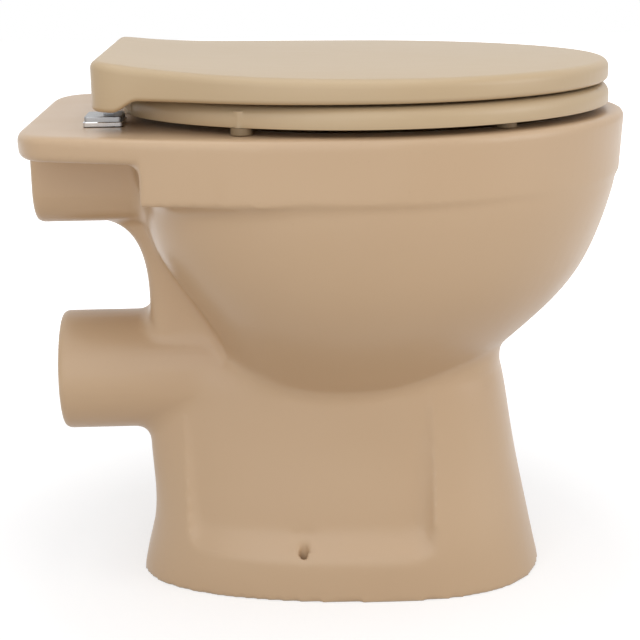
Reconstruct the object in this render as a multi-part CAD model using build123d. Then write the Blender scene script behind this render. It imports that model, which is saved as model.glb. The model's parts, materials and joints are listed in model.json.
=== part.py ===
# Floor-standing rimless toilet with seat and lid.
#
# Frame: millimetres, +Z up, the floor at z = 0. The toilet faces -Y, its outlet
# pipe and its shelf point to +Y, and it is symmetric about the plane x = 0.
# The pan is one ceramic casting. The seat and the lid turn about one pin line
# on two metal hinges, which two studs hold to the shelf of the pan from above.
from build123d import *
import os

os.makedirs("parts", exist_ok=True)

# Pan, outer sizes
pan_length = 486.0          # back edge of the shelf to the nose
pan_width = 360.0           # widest part of the rim
rim_height = 400.0          # floor to the top of the rim
rim_band_height = 50.0      # upright band below the rim
rim_edge_radius = 6.0
rim_nose_fullness = 0.51    # how square the nose is, from 0 to 1
rim_corner_run = (32.0, 100.0)   # way of the outline past the rear corner
rim_side_run = 110.0        # straight run of the outline behind the widest station
band_draft = 2.5            # the band leans in this much from top to bottom
band_setback = 5.0          # the bowl starts this far inside the rim
widest_ahead = 25.0         # the widest station lies this far ahead of the middle

# Shelf that carries the seat hinges
shelf_half_width = 143.5
shelf_back_half_width = 92.0
shelf_corner_depth = 25.0
shelf_thickness = 19.0
shelf_edge_radius = 5.0     # lower edge
band_end_slant = 11.0       # beside the box the band ends this much further back
shelf_overhang = 96.0       # back edge of the shelf to the rear end of the band

# Bowl, outer shape under the band
bowl_base_z = 166.0
wall = 9.0                  # ceramic wall

# Water inlet box under the shelf
box_half_width = 63.0
box_depth = 65.0            # shelf underside to the bottom of the box
box_corner = 30.0
box_edge = 6.0
box_setback = 1.5           # its back face from the back edge of the shelf
inlet_radius = 27.5
inlet_z = 352.0
inlet_length = 30.0

# Outlet pipe and the strut above it
outlet_radius = 51.0
outlet_wall = 8.0
outlet_edge = 6.0
outlet_z = 179.0
outlet_setback = 11.0       # end of the pipe from the back edge of the shelf
spigot_length = 56.0        # plain end of the pipe that goes into a pan connector
pipe_root_radius = 52.0     # the pipe widens to this towards the pedestal
pipe_root_depth = 117.5     # how far the pipe reaches into the pedestal
strut_half_width = 38.0
strut_back = 89.0           # back edge of the shelf to the back of the strut
strut_curve_height = 71.0
strut_curve_length = 46.0
strut_edge = 12.0
strut_reach = 45.0          # the strut starts this far ahead of the bowl's rear rim

# Foot and pedestal
foot_half_width = 104.0
foot_back_setback = 74.0    # back edge of the shelf to the back of the foot
foot_nose_setback = 60.5    # nose of the rim to the front of the foot
foot_band_height = 36.0
ledge_rise = 18.0           # the ledge above the foot band climbs this much to the panel
waist_z = 184.0
waist_half_width = 80.0
waist_nose_setback = 98.5   # nose of the rim to the front of the waist
pedestal_back_setback = 85.5
neck_setback = 91.5         # the neck above the waist starts this far ahead of the pedestal's back
neck_height = 22.0
panel_depth = 15.0          # the side panels are let in this far at the floor, less higher up
panel_front_setback = 105.5     # front of the foot to the front edge of a panel
panel_back_setback = 31.5       # back of the pedestal to the back edge of a panel
panel_corner = 14.0
floor_hole_radius = 4.0
floor_hole_inset = 13.5     # from the side of the foot
floor_hole_y = 30.0
foot_flange = 28.0          # width of the solid ring that stands on the floor
foot_flange_height = 40.0

# Inside of the bowl and the trap
rim_side_width = 34.0       # top of the rim, outer edge to the opening
rim_nose_width = 37.0
opening_setback = 138.0     # back edge of the shelf to the opening
trap_radius = 35.0
trap_wall = 9.0
trap_bend = 45.0
trap_setback = 263.0        # back edge of the shelf to the middle of the down leg
trap_bottom_z = 61.0
outlet_bore_length = 62.0
chamber_floor = 7.0         # ceramic under the flush chamber
chamber_corner = 10.0
slot_half_width = 46.0
slot_height = 16.0
slot_top_z = 383.0
slot_reach = 45.0           # the slot is cut this far forward, into the bowl

# Seat ring
seat_gap = 6.0              # rim to the underside of the ring
seat_thickness = 16.0
seat_side_setback = 1.0     # side of the rim to the side of the ring
seat_nose_setback = 14.0    # nose of the rim to the front of the ring
seat_ahead_of_pin = 7.0     # pin line to the back of the ring
seat_over_side = 34.0       # the ring covers the opening of the bowl by this much
seat_over_nose = 38.0
seat_over_back = 5.0
seat_inner_radius = 6.0     # upper edge of the hole
seat_wall = 10.0            # sides of the hollow under the ring
seat_top = 6.0              # ring above the hollow
seat_edge_radius = 9.0

# Lid
lid_gap = 2.0               # seat ring to the lower edge of the lid
lid_over_side = 1.0         # the lid reaches this far past the side of the ring
lid_nose_setback = 1.0      # front of the ring to the front of the lid
lid_behind_pin = 9.0
lid_back_half_width = 108.0
lid_corner_half_width = 134.0
lid_corner_depth = 26.0
lid_nose_fullness = 0.53
lid_corner_run = (18.0, 60.0)
lid_side_run = 100.0
lid_thickness = 17.5        # at the middle
lid_rise = 12.5             # the back stands this much higher than the middle
lid_rise_from = 120.0       # the top curves up towards the back from about here
lid_nose_drop = 0.3
lid_shell = 5.0
lid_edge_radius = 7.0
ear_depth = 9.0             # the rear corners reach this far below the lid's edge
ear_length = 24.0

# Hinges
pin_ahead = 3.3             # the pin line lies this far ahead of the fixing holes
pin_height = 31.5           # pin line above the rim
pin_radius = 4.0
pin_overhang = 1.0
hole_spacing = 155.0        # fixing holes, centre to centre
hole_setback = 64.7         # back edge of the shelf to the fixing holes
hole_radius = 7.0
gasket_thickness = 0.8
base_height = 3.4
base_length = 31.0
base_width = 35.0
plate_height = 4.0
plate_length = 28.5
plate_width = 33.0
plate_corner = 2.5
lug_thickness = 4.0
lug_length = 8.0
lug_end_radius = 6.5
knuckle_radius = 7.5
knuckle_width = 11.0
knuckle_gap = 1.5           # beside the lug
arm_length = 30.0           # the arms run this far forward into the ring
bush_wall = 1.5
running_gap = 0.05          # round the pin
swing_gap = 1.2             # round what turns past the hinge
slot_ahead = 4.4            # the slots over the lugs start this far ahead of them
window_side_gap = 3.0       # outer side of the openings round the hinges
seat_opens = 95.0           # degrees
lid_opens = 95.0            # degrees, counted from the seat

# Fixings, two sets: tightening the stud draws the cone nut up into the sleeve, which spreads
stud_radius = 4.0
stud_grip = 3.0             # how far the stud reaches into the plate
stud_end = 1.5              # lower end of the stud above the underside of the shelf
cone_height = 6.0
cone_taper = 1.2            # the nut is this much narrower at the top
cone_end = 0.5              # lower end of the nut above the underside of the shelf

# Buffers between rim, seat and lid
buffer_radius = 8.0
buffer_stem_radius = 3.0
buffer_stem = 5.0
rest_gap = 0.3              # soft buffers stop this short of what they rest on
buffer_boss = 3.0           # wall round a buffer's stem
# Distances in from the side, and back from the front, of the ring and of the lid
seat_buffers = {"front": (46.0, 104.0), "rear": (29.0, 301.0)}
lid_buffers = {"front": (62.0, 110.0), "rear": (58.0, 316.0)}


# Stations that follow from the driving sizes
back_y = pan_length / 2
nose_y = -pan_length / 2
widest_y = -widest_ahead
band_z = rim_height - rim_band_height
shelf_under_z = rim_height - shelf_thickness
box_bottom_z = shelf_under_z - box_depth
box_back_y = back_y - box_setback
band_end_y = back_y - shelf_overhang
strut_y = back_y - strut_back
outlet_end_y = back_y - outlet_setback
foot_back = back_y - foot_back_setback
foot_front = -nose_y - foot_nose_setback
waist_front = -nose_y - waist_nose_setback
pedestal_back = back_y - pedestal_back_setback
panel_front = foot_front - panel_front_setback
panel_back = pedestal_back - panel_back_setback
floor_hole_x = foot_half_width - floor_hole_inset
ledge_top_z = foot_band_height + ledge_rise
opening_half_width = pan_width / 2 - rim_side_width
opening_front = -nose_y - rim_nose_width
opening_back = back_y - opening_setback
trap_front_y = back_y - trap_setback
trap_back_y = trap_front_y + 2 * trap_bend
bend_z = trap_bottom_z + trap_bend
hole_x = hole_spacing / 2
hole_y = back_y - hole_setback
pin_y = hole_y - pin_ahead
pin_z = rim_height + pin_height
seat_under_z = rim_height + seat_gap
seat_top_z = seat_under_z + seat_thickness
seat_half_width = pan_width / 2 - seat_side_setback
seat_front = -nose_y - seat_nose_setback
seat_back = pin_y - seat_ahead_of_pin
seat_hole_half_width = opening_half_width - seat_over_side
seat_hole_front = opening_front - seat_over_nose
seat_hole_back = opening_back - seat_over_back
lid_under_z = seat_top_z + lid_gap
lid_top_z = lid_under_z + lid_thickness
lid_half_width = seat_half_width + lid_over_side
lid_front = seat_front - lid_nose_setback
lid_back = pin_y + lid_behind_pin
gasket_top_z = rim_height + gasket_thickness
base_top_z = gasket_top_z + base_height
plate_top_z = base_top_z + plate_height
knuckle_offset = lug_thickness / 2 + knuckle_gap + knuckle_width / 2
bush_radius = pin_radius + running_gap + bush_wall
stem_hole_radius = buffer_stem_radius + running_gap
beyond = 5.0                # cutters reach this far past what they cut


def egg(z, back, front, half_width, widest, flat, back_full, front_full):
    """Closed outline at height z: a flat back edge and two full curves on each side."""
    right = [
        Bezier(
            (flat, back, z),
            (flat + (half_width - flat) * back_full, back, z),
            (half_width, widest + (back - widest) * back_full, z),
            (half_width, widest, z),
        ),
        Bezier(
            (half_width, widest, z),
            (half_width, widest - (widest - front) * front_full, z),
            (half_width * front_full, front, z),
            (0, front, z),
        ),
    ]
    left = [edge.mirror(Plane.YZ) for edge in right]
    return Face(Wire([Line((-flat, back, z), (flat, back, z))] + right + left))


def d_outline(z, back, front, side, flat, corner, corner_lead, side_lead, front_full):
    """Closed outline at height z: a straight back edge, tight back corners and a round front."""
    corner_x, corner_y = corner
    lead_x, lead_y = corner_lead
    turn = 0.6 * (back - corner_y) / lead_y
    widest = -widest_ahead
    right = [
        Bezier(
            (flat, back, z),
            (flat + (corner_x - flat) * 0.65, back, z),
            (corner_x - lead_x * turn, corner_y + lead_y * turn, z),
            (corner_x, corner_y, z),
        ),
        Bezier(
            (corner_x, corner_y, z),
            (corner_x + lead_x, corner_y - lead_y, z),
            (side, widest + side_lead, z),
            (side, widest, z),
        ),
        Bezier(
            (side, widest, z),
            (side, widest - (widest - front) * front_full, z),
            (side * front_full, front, z),
            (0, front, z),
        ),
    ]
    left = [edge.mirror(Plane.YZ) for edge in right]
    return Face(Wire([Line((-flat, back, z), (flat, back, z))] + right + left))


def rim_outline(z, inset=0.0):
    """Outline of the rim and the shelf at height z."""
    back = pan_length / 2 - inset
    corner = (shelf_half_width - inset, back - shelf_corner_depth)
    side = pan_width / 2 - inset
    flat = shelf_back_half_width - inset
    return d_outline(z, back, -back, side, flat, corner, rim_corner_run, rim_side_run, rim_nose_fullness)


def lid_outline(z, inset=0.0):
    """Outline of the lid at height z."""
    back = lid_back - inset
    corner = (lid_corner_half_width - inset, back - lid_corner_depth)
    side = lid_half_width - inset
    flat = lid_back_half_width - inset * 0.6
    front = -lid_front + inset
    return d_outline(z, back, front, side, flat, corner, lid_corner_run, lid_side_run, lid_nose_fullness)


def prism(face, height):
    return extrude(face, amount=height, dir=(0, 0, 1))


def across(side_view, centre_x, width):
    """Plate that spans width along X, from its outline as (y, z)."""
    return extrude(Plane.YZ.offset(centre_x - width / 2) * make_face(side_view), amount=width)


def block(x0, x1, y0, y1, z0, z1):
    return Pos((x0 + x1) / 2, (y0 + y1) / 2, (z0 + z1) / 2) * Box(x1 - x0, y1 - y0, z1 - z0)


def rod_x(x0, x1, y, z, radius):
    """Round bar along X."""
    return Pos((x0 + x1) / 2, y, z) * Rot(0, 90, 0) * Cylinder(radius, x1 - x0)


def rod_y(y0, y1, x, z, radius):
    """Round bar along Y."""
    return Pos(x, (y0 + y1) / 2, z) * Rot(90, 0, 0) * Cylinder(radius, y1 - y0)


def rod_z(z0, z1, x, y, radius):
    """Round bar along Z."""
    return Pos(x, y, (z0 + z1) / 2) * Cylinder(radius, z1 - z0)


def bowl_sections(inset):
    """Outlines of the outside of the bowl, from the band down into the pedestal."""
    side = pan_width / 2 - band_setback - inset
    reach = back_y - band_setback - inset
    drop = band_z - bowl_base_z
    rows = [
        # share of the drop, front share, side share, way in from the back edge, back fullness
        (0.00, 1.000, 1.000, 93, 0.80),
        (0.14, 0.977, 0.981, 90, 0.78),
        (0.33, 0.926, 0.932, 100, 0.74),
        (0.52, 0.840, 0.844, 122, 0.70),
        (0.68, 0.724, 0.718, 140, 0.66),
        (0.82, 0.610, 0.585, 153, 0.62),
        (1.00, 0.430, 0.400, 173, 0.58),
    ]
    outlines = []
    for share, front, width, way_in, full in rows:
        z = band_z - drop * share
        back = back_y - way_in
        outlines.append(egg(z, back - inset, -reach * front, side * width, widest_y, 20, full, 0.53))
    return outlines


def pedestal_sections(inset, panel=0.0):
    """Outlines of the pedestal from the floor up to the waist."""
    rows = [
        # height, back, front, half width, flat back, back fullness
        (0.0, foot_back, foot_front, foot_half_width, 15, 0.60),
        (foot_band_height, pedestal_back + 3, foot_front - 8.5, foot_half_width - 1.5, 15, 0.60),
        (ledge_top_z, pedestal_back, foot_front - 12.5, foot_half_width - 3.5, 16, 0.58),
        (waist_z * 0.52, pedestal_back, waist_front + 16.5, waist_half_width + 13, 18, 0.52),
        (waist_z * 0.78, pedestal_back + 0.5, waist_front + 8, waist_half_width + 6, 22, 0.42),
        (waist_z, pedestal_back + 1.5, waist_front, waist_half_width, 25, 0.35),
    ]
    outlines = []
    for z, back, front, width, flat, full in rows:
        side = width - inset - panel * (1 - z / waist_z)
        outlines.append(egg(z, back - inset, -front + inset, side, -50, flat, full, 0.66))
    return outlines


def cavity_sections(outset):
    """Outlines of the inside of the bowl, from above the rim down to the trap."""
    low = bend_z + trap_radius
    throat = trap_radius - 3    # ends inside the trap, so that the two run into each other
    middle = trap_front_y
    rows = [
        # height, front, back, half width, back fullness
        (rim_height + 1, opening_front, opening_back, opening_half_width, 0.66),
        (band_z, opening_front - 3, opening_back - 3, opening_half_width - 3, 0.66),
        (band_z - 50, opening_front - 15, opening_back - 12, opening_half_width - 15, 0.63),
        (band_z - 100, opening_front - 44, opening_back - 25, opening_half_width - 40, 0.60),
        (band_z - 145, opening_front - 86, opening_back - 51, opening_half_width - 70, 0.58),
        (low + 26, 58 - middle, 50 + middle, 50, 0.56),
        (low - 4, throat - middle, throat + middle, throat, 0.55),
    ]
    outlines = []
    for z, front, back, width, full in rows:
        outlines.append(egg(z, back + outset, -front - outset, width + outset, middle, 8, full, 0.54))
    return outlines


def trap_tube(radius, end_y):
    """Passage from the bottom of the bowl, down, up over the weir and out at the back."""
    elbow_z = outlet_z - trap_bend
    down = rod_z(bend_z, bend_z + trap_radius, 0, trap_front_y, radius)
    bottom_axis = Axis((0, trap_front_y + trap_bend, bend_z), (1, 0, 0))
    bottom = revolve(Pos(0, trap_front_y, bend_z) * Circle(radius), bottom_axis, 180)
    up = rod_z(bend_z, elbow_z, 0, trap_back_y, radius)
    elbow_axis = Axis((0, trap_back_y + trap_bend, elbow_z), (-1, 0, 0))
    elbow = revolve(Pos(0, trap_back_y, elbow_z) * Circle(radius), elbow_axis, 90)
    return down + bottom + up + elbow + rod_y(trap_back_y + trap_bend, end_y, 0, outlet_z, radius)


def make_hollow():
    """Space between the outer and the inner walls, open at the floor."""
    under_bowl = loft(bowl_sections(wall))
    in_band = prism(rim_outline(band_z - 1, wall), rim_band_height + 1 - wall)
    in_band = in_band - block(-pan_width, pan_width, band_end_y - wall, back_y, band_z - beyond, rim_height)
    under_bowl = under_bowl + in_band
    in_pedestal = loft(pedestal_sections(wall, panel_depth))
    flange = block(-pan_width, pan_width, -pan_length, pan_length, -1, foot_flange_height)
    foot_opening = egg(
        -beyond, foot_back - foot_flange, -foot_front + foot_flange, foot_half_width - foot_flange,
        -50, 10, 0.60, 0.66,
    )
    flange = flange - prism(foot_opening, foot_flange_height + 2 * beyond)
    hollow = under_bowl + (in_pedestal - flange)
    inner_walls = loft(cavity_sections(wall)) + trap_tube(trap_radius + trap_wall, outlet_end_y)
    between_legs = block(
        -trap_radius, trap_radius, trap_front_y, trap_back_y,
        bend_z - trap_wall, bend_z + trap_radius + trap_wall,
    )
    round_chamber = block(
        -box_half_width, box_half_width, opening_back, back_y,
        box_bottom_z, rim_height,
    )
    round_slot = block(
        -slot_half_width - wall, slot_half_width + wall, opening_back - slot_reach, opening_back + wall,
        slot_top_z - slot_height - wall, rim_height,
    )
    inner_walls = inner_walls + between_legs + round_chamber + round_slot
    return hollow - inner_walls


def make_passages():
    """Everything that water runs through: bowl, trap, outlet, and the flush way behind the bowl."""
    past_end = outlet_end_y + beyond
    waste = loft(cavity_sections(0)) + trap_tube(trap_radius, past_end)
    bore = rod_y(outlet_end_y - outlet_bore_length, past_end, 0, outlet_z, outlet_radius - outlet_wall)
    chamber = block(
        -box_half_width + wall, box_half_width - wall,
        opening_back + wall, box_back_y - inlet_length,
        box_bottom_z + chamber_floor, slot_top_z,
    )
    chamber = fillet(chamber.edges().filter_by(Axis.Y), chamber_corner)
    slot = block(
        -slot_half_width, slot_half_width, opening_back - slot_reach, opening_back + wall + beyond,
        slot_top_z - slot_height, slot_top_z,
    )
    inlet = rod_y(box_back_y - inlet_length - beyond, back_y + beyond, 0, inlet_z, inlet_radius)
    return waste + bore + chamber + slot + inlet


def make_pan():
    pan = make_outside() - make_passages() - make_hollow()
    for side in (-1, 1):
        pan = pan - rod_z(shelf_under_z - beyond, rim_height + beyond, side * hole_x, hole_y, hole_radius)
        screw_hole = rod_z(-beyond, ledge_top_z + beyond, side * floor_hole_x, floor_hole_y, floor_hole_radius)
        pan = pan - screw_hole
    return pan


def make_band():
    """Upright band under the rim, and the shelf behind it."""
    band = loft([rim_outline(band_z, band_draft), rim_outline(rim_height)], ruled=True)
    band = fillet(band.faces().sort_by(Axis.Z)[-1].edges(), rim_edge_radius)
    slant_y = band_end_y + band_end_slant
    under_shelf = Polyline(
        (-pan_width, band_end_y), (-shelf_half_width, band_end_y), (-box_half_width, slant_y),
        (box_half_width, slant_y), (shelf_half_width, band_end_y), (pan_width, band_end_y),
        (pan_width, pan_length), (-pan_width, pan_length), close=True,
    )
    depth = shelf_under_z - band_z + beyond
    band = band - Pos(0, 0, band_z - beyond) * extrude(make_face(under_shelf), amount=depth)
    lip = band.faces().filter_by(Axis.Z).filter_by(lambda face: abs(face.center().Z - shelf_under_z) < 0.1)
    lip_edges = lip.edges().filter_by(lambda edge: edge.center().Y > slant_y)
    return fillet(lip_edges, shelf_edge_radius)


def make_pedestal():
    """Foot and pedestal, with a panel let into each side above a sloping ledge."""
    outside = pedestal_sections(0)
    inside = pedestal_sections(0, panel_depth)
    pedestal = loft(outside)
    zone = block(-pan_width, pan_width, -panel_front, panel_back, foot_band_height, waist_z + 20)
    zone = fillet(zone.edges().filter_by(Axis.X), panel_corner)
    ledge = loft([outside[1], inside[2]], ruled=True)
    return pedestal - (zone - loft(inside) - ledge)


def make_strut():
    """Upright between the outlet pipe and the inlet box, with a hollow curve behind."""
    curve_low = box_bottom_z - strut_curve_height
    curve_end = strut_y + strut_curve_length
    inside_y = opening_back - strut_reach
    side_view = Polyline((inside_y, outlet_z), (strut_y, outlet_z), (strut_y, curve_low))
    side_view += Bezier(
        (strut_y, curve_low),
        (strut_y, curve_low + 0.63 * strut_curve_height),
        (strut_y + 0.24 * strut_curve_length, box_bottom_z),
        (curve_end, box_bottom_z),
    )
    in_box_z = box_bottom_z + wall
    side_view += Polyline(
        (curve_end, box_bottom_z), (curve_end, in_box_z), (inside_y, in_box_z), (inside_y, outlet_z)
    )
    strut = across(side_view, 0, 2 * strut_half_width)
    return fillet(strut.edges().filter_by(Axis.Z).group_by(Axis.Y)[-2], strut_edge)


def make_outside():
    """Outside of the pan as one closed body, still solid."""
    neck_back = pedestal_back - neck_setback
    neck = prism(egg(waist_z, neck_back, -waist_front, waist_half_width, -50, 15, 0.58, 0.68), neck_height)
    spigot_y = outlet_end_y - spigot_length
    pipe = rod_y(spigot_y, outlet_end_y, 0, outlet_z, outlet_radius)
    pipe = fillet(pipe.edges().sort_by(Axis.Y)[-1], outlet_edge)
    root_y = pedestal_back - pipe_root_depth
    root = Rot(-90, 0, 0) * Cone(pipe_root_radius, outlet_radius, spigot_y - root_y)
    pipe = pipe + Pos(0, (spigot_y + root_y) / 2, outlet_z) * root
    box = block(
        -box_half_width, box_half_width, opening_back - beyond, box_back_y,
        box_bottom_z, shelf_under_z + beyond,
    )
    box = fillet(box.edges().filter_by(Axis.Y).group_by(Axis.Z)[0], box_corner)
    box = fillet(box.faces().sort_by(Axis.Y)[-1].edges().sort_by(Axis.Z)[:-1], box_edge)
    return make_band() + loft(bowl_sections(0)) + make_pedestal() + neck + pipe + box + make_strut()


def seat_outline(z, inset=0.0):
    return egg(z, seat_back - inset, -seat_front + inset, seat_half_width - inset, widest_y, 30, 0.52, 0.53)


def seat_hole_outline(z, outset=0.0):
    return egg(
        z, seat_hole_back + outset, -seat_hole_front - outset, seat_hole_half_width + outset,
        widest_y, 20, 0.60, 0.56,
    )


def knuckle(centre_x, root):
    """Knuckle round the pin with a web to the points in root, as (y, z)."""
    half = knuckle_width / 2
    web = across(Polyline(*root, close=True), centre_x, knuckle_width)
    return web + rod_x(centre_x - half, centre_x + half, pin_y, pin_z, knuckle_radius)


def bush_hole(centre_x):
    half = knuckle_width / 2 + 1
    return rod_x(centre_x - half, centre_x + half, pin_y, pin_z, bush_radius)


def is_round_hole_top(edge):
    """True for the upper edges of the hole in the ring."""
    box = edge.bounding_box()
    across_hole = max(-box.min.X, box.max.X) < seat_hole_half_width + 1
    along_hole = box.max.Y < seat_hole_back + 1 and box.min.Y > -seat_hole_front - 1
    return across_hole and along_hole and box.min.Z > seat_top_z - 0.1


def buffer_places(side, places, half_width, front):
    """Centres of the buffers on one side, by name."""
    return {name: (side * (half_width - inset), behind - front) for name, (inset, behind) in places.items()}


def make_seat():
    ring = prism(seat_outline(seat_under_z), seat_thickness)
    ring = fillet(ring.faces().sort_by(Axis.Z)[-1].edges(), seat_edge_radius)
    hole = prism(seat_hole_outline(seat_under_z - 1), seat_thickness + 2)
    ring = ring - hole
    rim_of_hole = ring.edges().filter_by(is_round_hole_top)
    ring = fillet(rim_of_hole, seat_inner_radius)
    groove = prism(seat_outline(seat_under_z - 1, seat_wall), seat_thickness - seat_top + 1)
    groove = groove - prism(seat_hole_outline(seat_under_z - 2, seat_wall), seat_thickness)
    for side in (-1, 1):
        for x, y in buffer_places(side, seat_buffers, seat_half_width, seat_front).values():
            groove = groove - rod_z(seat_under_z - 2, seat_top_z, x, y, buffer_stem_radius + buffer_boss)
    seat = ring - groove
    low = plate_top_z + swing_gap
    for side in (-1, 1):
        centre = side * (hole_x - knuckle_offset)
        arm = knuckle(
            centre,
            [
                (seat_back - arm_length, seat_under_z + 1),
                (seat_back - 8, low),
                (pin_y - knuckle_radius * 0.3, pin_z - knuckle_radius * 0.9),
                (pin_y - knuckle_radius * 0.7, pin_z + knuckle_radius * 0.7),
                (seat_back - arm_length, seat_top_z - 1),
            ],
        )
        seat = seat + arm - bush_hole(centre)
        for x, y in buffer_places(side, seat_buffers, seat_half_width, seat_front).values():
            seat = seat - rod_z(seat_under_z - 1, seat_under_z + buffer_stem, x, y, stem_hole_radius)
    return seat


def lid_space(inset):
    """Space inside the lid's outer faces, drawn in by inset everywhere but below."""
    plan = prism(lid_outline(seat_under_z, inset), pin_height * 3)
    under = lid_under_z - inset
    ear = under - ear_depth
    top = lid_top_z - inset
    nose = -lid_front - 1
    rear = lid_back + 1
    ear_y = lid_back - ear_length
    profile = Polyline((nose, top - lid_nose_drop), (nose, under), (ear_y - 12, under))
    profile += Bezier((ear_y - 12, under), (ear_y - 2, under), (ear_y - 2, ear), (ear_y + 8, ear))
    profile += Polyline((ear_y + 8, ear), (rear, ear), (rear, top + lid_rise))
    profile += Bezier((nose, top - lid_nose_drop), (0, top), (lid_rise_from, top), (rear, top + lid_rise))
    return plan & across(profile, 0, 2 * pan_width)


def make_lid():
    lid = lid_space(0)
    upper = lid.edges().filter_by(lambda edge: edge.center().Z > lid_under_z + lid_thickness / 3)
    upper = upper.filter_by(lambda edge: edge.bounding_box().size.Z < lid_rise + lid_nose_drop)
    lid = fillet(upper, lid_edge_radius)
    lid = lid - lid_space(lid_shell)
    rear = lid_back + 1
    below = lid_under_z - 2 * ear_depth
    inside = lid_space(lid_shell / 2)
    high = lid_top_z + lid_rise - lid_shell + 1.5
    window_start = hole_x - knuckle_offset - knuckle_width / 2 - swing_gap
    window_end = hole_x + knuckle_offset + knuckle_width / 2 + window_side_gap
    lid = lid - block(-window_end, window_end, lid_back - 40, rear, below, lid_under_z)
    for side in (-1, 1):
        low_x, high_x = sorted((side * window_start, side * window_end))
        lid = lid - block(low_x, high_x, lid_back - 30, rear, below, pin_z + knuckle_radius + swing_gap)
        slot = block(
            side * hole_x - lug_thickness / 2 - swing_gap,
            side * hole_x + lug_thickness / 2 + swing_gap,
            pin_y - lug_length / 2 - slot_ahead, rear,
            lid_under_z, lid_top_z + 2 * lid_rise,
        )
        centre = side * (hole_x + knuckle_offset)
        hanger = knuckle(
            centre,
            [
                (pin_y - knuckle_radius, pin_z),
                (pin_y - knuckle_radius - 5, high),
                (pin_y + knuckle_radius - 1, high),
                (pin_y + knuckle_radius - 1, pin_z),
            ],
        )
        lid = lid - slot + hanger - bush_hole(centre)
        for x, y in buffer_places(side, lid_buffers, lid_half_width, lid_front).values():
            boss = rod_z(lid_under_z + 1, lid_top_z + lid_rise, x, y, buffer_stem_radius + buffer_boss)
            stem_hole = rod_z(below, lid_under_z + 1 + buffer_stem, x, y, stem_hole_radius)
            lid = lid + (boss & inside) - stem_hole
    return lid


def make_buffer(x, y, rests_on, carried_by):
    """Rubber buffer: a foot that rests on one piece and a stem in another."""
    foot = rod_z(rests_on + rest_gap, carried_by, x, y, buffer_radius)
    foot = fillet(foot.edges().group_by(Axis.Z)[0], 1.0)
    return foot + rod_z(carried_by, carried_by + buffer_stem - 0.5, x, y, buffer_stem_radius)


def slab(x, length, width, low, height, corner):
    """Flat plate round a fixing hole, with rounded corners."""
    body = Pos(x, hole_y, low + height / 2) * Box(width, length, height)
    return fillet(body.edges().filter_by(Axis.Z), corner)


def make_hinge(side):
    """Pieces of one hinge, by name."""
    x = side * hole_x
    stud_hole = rod_z(rim_height - 1, base_top_z + 1, x, hole_y, stud_radius + running_gap)
    gasket = slab(x, base_length - 1, base_width - 1, rim_height, gasket_thickness, plate_corner)
    gasket = gasket - stud_hole
    base = slab(x, base_length, base_width, gasket_top_z, base_height, plate_corner + 0.5)
    base = chamfer(base.edges().group_by(Axis.Z)[-1], 0.6)
    base = base - stud_hole
    plate = slab(x, plate_length, plate_width, base_top_z, plate_height, plate_corner)
    plate = fillet(plate.edges().group_by(Axis.Z)[-1], 0.8)
    half = lug_thickness / 2
    lug = block(x - half, x + half, pin_y - lug_length / 2, pin_y + lug_length / 2, base_top_z + 1, pin_z)
    lug = lug + rod_x(x - half, x + half, pin_y, pin_z, lug_end_radius)
    plate = plate + lug
    plate = plate - rod_x(x - half - 1, x + half + 1, pin_y, pin_z, pin_radius + running_gap)
    plate = plate - rod_z(base_top_z - 1, base_top_z + stud_grip, x, hole_y, stud_radius + running_gap)
    reach = knuckle_offset + knuckle_width / 2 + pin_overhang
    pin = rod_x(x - reach, x + reach, pin_y, pin_z, pin_radius)
    pin = chamfer(pin.edges().filter_by(GeomType.CIRCLE), 0.5)
    pieces = {"gasket": gasket, "base": base, "plate": plate, "pin": pin}
    for name, centre in (("seat_bush", x - side * knuckle_offset), ("lid_bush", x + side * knuckle_offset)):
        width = knuckle_width / 2
        bush = rod_x(centre - width, centre + width, pin_y, pin_z, bush_radius)
        bore = rod_x(centre - width - 1, centre + width + 1, pin_y, pin_z, pin_radius + running_gap)
        pieces[name] = bush - bore
    return pieces


def make_fixing(side):
    """Stud, expansion sleeve and cone nut that hold one hinge in its hole in the shelf."""
    x = side * hole_x
    stud = rod_z(shelf_under_z + stud_end, base_top_z + stud_grip, x, hole_y, stud_radius)
    stud = chamfer(stud.edges().group_by(Axis.Z)[0], 0.8)
    through = rod_z(shelf_under_z - beyond, rim_height + beyond, x, hole_y, stud_radius + running_gap)
    nut_low = shelf_under_z + cone_end
    nut_radius = hole_radius - rest_gap
    nut = Cone(nut_radius, nut_radius - cone_taper, cone_height)
    nut = Pos(x, hole_y, nut_low + cone_height / 2) * nut - through
    sleeve = rod_z(nut_low + cone_height, rim_height - rest_gap, x, hole_y, nut_radius) - through
    return {"fixing_stud": stud, "expansion_sleeve": sleeve, "cone_nut": nut}


if __name__ == "__main__":
    pieces = {"pan": make_pan(), "seat": make_seat(), "lid": make_lid()}
    for side, hand in ((-1, "left"), (1, "right")):
        for where, (x, y) in buffer_places(side, seat_buffers, seat_half_width, seat_front).items():
            pieces[f"seat_buffer_{where}_{hand}"] = make_buffer(x, y, rim_height, seat_under_z)
        for where, (x, y) in buffer_places(side, lid_buffers, lid_half_width, lid_front).items():
            pieces[f"lid_buffer_{where}_{hand}"] = make_buffer(x, y, seat_top_z, lid_under_z + 1)
        for name, piece in make_hinge(side).items():
            pieces[f"hinge_{name}_{hand}"] = piece
        for name, piece in make_fixing(side).items():
            pieces[f"{name}_{hand}"] = piece
    for name, piece in pieces.items():
        export_step(piece, f"parts/{name}.step")
        print(name, len(piece.solids()), round(piece.volume), piece.is_valid)
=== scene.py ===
# %% [markdown]
# # A floor-standing rimless toilet, dressed for a studio photograph
# The solid parts arrive as a fixed frame: every node is already in its place, in metres, with
# the floor at z = 0, the nose of the pan towards -Y and the outlet towards +Y. This script gives
# each part the surface that a maker would give it. Where a casting or a moulding needs softer
# edges than its plain solid has, a new skin is made in the same place and stands for the node.

# %% Load the frame
import json
import math

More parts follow.
